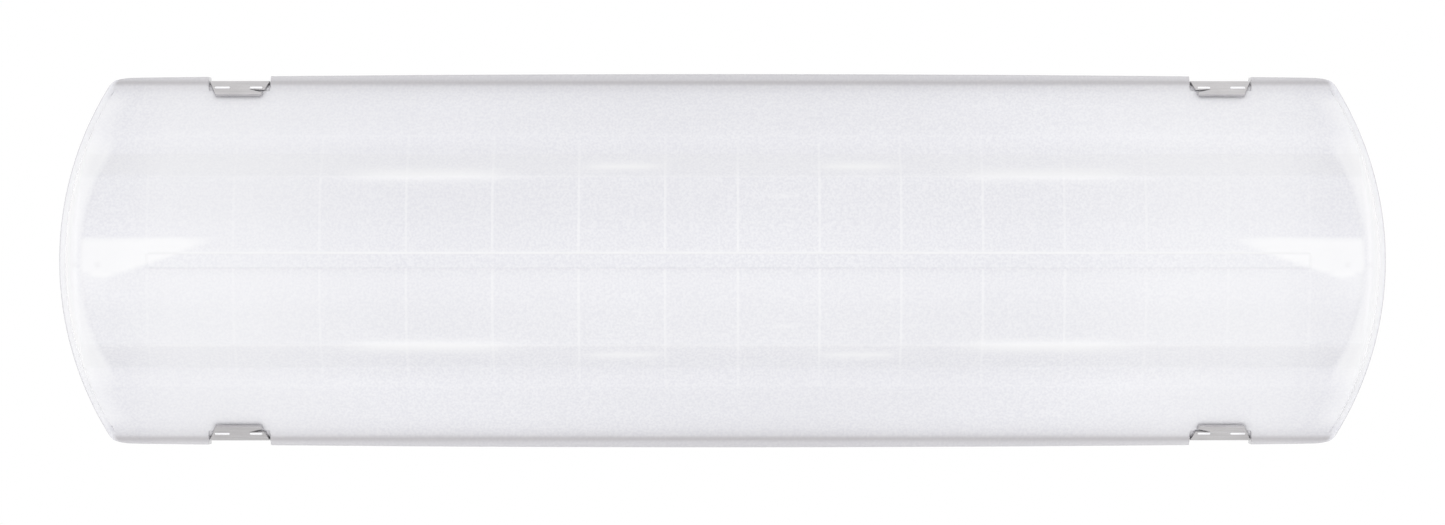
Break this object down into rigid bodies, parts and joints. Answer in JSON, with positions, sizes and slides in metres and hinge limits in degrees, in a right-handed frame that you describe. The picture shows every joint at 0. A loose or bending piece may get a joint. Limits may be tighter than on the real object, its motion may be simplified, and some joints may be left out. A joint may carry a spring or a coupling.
{
  "type": "vapor tight light fixture",
  "caption": "Long sealed light fixture with a frosted lens on a deep tub, held by hinged side latches; gear tray, light boards, driver and cable gland inside.",
  "frame": {"origin": "centre of the flat back face of the housing, on the wall", "axes": "+X along the fixture, +Z across it and up, +Y into the wall, so the lens faces -Y"},
  "size_m": [0.664, 0.0905, 0.1868],
  "materials": {
    "housing_grey": "fine moulded texture, pale grey",
    "lens_frosted": "satin frosted, pale and slightly cool",
    "rubber_black": "matt",
    "latch_steel": "rolled stainless sheet",
    "screw_steel": "turned",
    "tray_white": "white powder coat",
    "board_white": "white solder mask with pale yellow chips",
    "plug_white": "moulded",
    "driver_white": "moulded case, bare of print",
    "gland_plastic": "moulded nylon",
    "lead_brown": "insulated lead",
    "lead_blue": "insulated lead",
    "lead_green": "insulated lead, green and yellow",
    "lead_red": "insulated lead",
    "lead_black": "insulated lead"
  },
  "bodies": {
    "fixture": {"housing": "housing_grey", "gasket": "rubber_black", "latch_pin_upper_left": "screw_steel", "latch_pin_lower_left": "screw_steel", "latch_pin_upper_right": "screw_steel", "latch_pin_lower_right": "screw_steel", "led_tray": "tray_white", "tray_screw_1": "screw_steel", "tray_screw_2": "screw_steel", "tray_screw_3": "screw_steel", "led_board_upper_left": "board_white", "led_board_upper_right": "board_white", "led_board_lower_left": "board_white", "led_board_lower_right": "board_white", "board_screw_upper_left_1": "screw_steel", "board_screw_upper_left_2": "screw_steel", "board_screw_upper_right_1": "screw_steel", "board_screw_upper_right_2": "screw_steel", "board_screw_lower_left_1": "screw_steel", "board_screw_lower_left_2": "screw_steel", "board_screw_lower_right_1": "screw_steel", "board_screw_lower_right_2": "screw_steel", "board_link_upper": "plug_white", "board_link_lower": "plug_white", "led_driver": "driver_white", "driver_screw_1": "screw_steel", "driver_screw_2": "screw_steel", "tray_grommet": "rubber_black", "terminal_block": "plug_white", "lead_live": "lead_brown", "lead_earth": "lead_green", "lead_neutral": "lead_blue", "lead_output_upper": "lead_red", "lead_output_lower": "lead_black", "gland_body": "gland_plastic", "gland_washer": "rubber_black", "gland_seal": "rubber_black", "gland_nut": "gland_plastic", "gland_locknut": "gland_plastic", "blanking_plug": "gland_plastic", "plug_washer": "rubber_black", "plug_locknut": "gland_plastic", "mounting_clip_left": "latch_steel", "mounting_clip_right": "latch_steel"},
    "lens_cover": {"lens": "lens_frosted"},
    "upper_left_latch": {"latch_upper_left": "latch_steel"},
    "lower_left_latch": {"latch_lower_left": "latch_steel"},
    "upper_right_latch": {"latch_upper_right": "latch_steel"},
    "lower_right_latch": {"latch_lower_right": "latch_steel"}
  },
  "joints": [
    {"name": "lens_lift", "type": "slide", "parent": "fixture", "child": "lens_cover", "axis": [0, -1, 0], "range_m": [0, 0.05]},
    {"name": "upper_left_hinge", "type": "hinge", "parent": "fixture", "child": "upper_left_latch", "pos_m": [-0.2415, -0.028, 0.08628], "axis": [-1, 0, 0], "range_deg": [0, 115]},
    {"name": "lower_left_hinge", "type": "hinge", "parent": "fixture", "child": "lower_left_latch", "pos_m": [-0.2415, -0.028, -0.08628], "axis": [1, 0, 0], "range_deg": [0, 115]},
    {"name": "upper_right_hinge", "type": "hinge", "parent": "fixture", "child": "upper_right_latch", "pos_m": [0.249, -0.028, 0.08621], "axis": [-1, 0, 0], "range_deg": [0, 115]},
    {"name": "lower_right_hinge", "type": "hinge", "parent": "fixture", "child": "lower_right_latch", "pos_m": [0.249, -0.028, -0.08621], "axis": [1, 0, 0], "range_deg": [0, 115]}
  ],
  "couplings": [
    {"joint": "upper_left_hinge", "follows": "lens_lift", "rad_per_m": 40},
    {"joint": "lower_left_hinge", "follows": "lens_lift", "rad_per_m": 40},
    {"joint": "upper_right_hinge", "follows": "lens_lift", "rad_per_m": 40},
    {"joint": "lower_right_hinge", "follows": "lens_lift", "rad_per_m": 40}
  ]
}
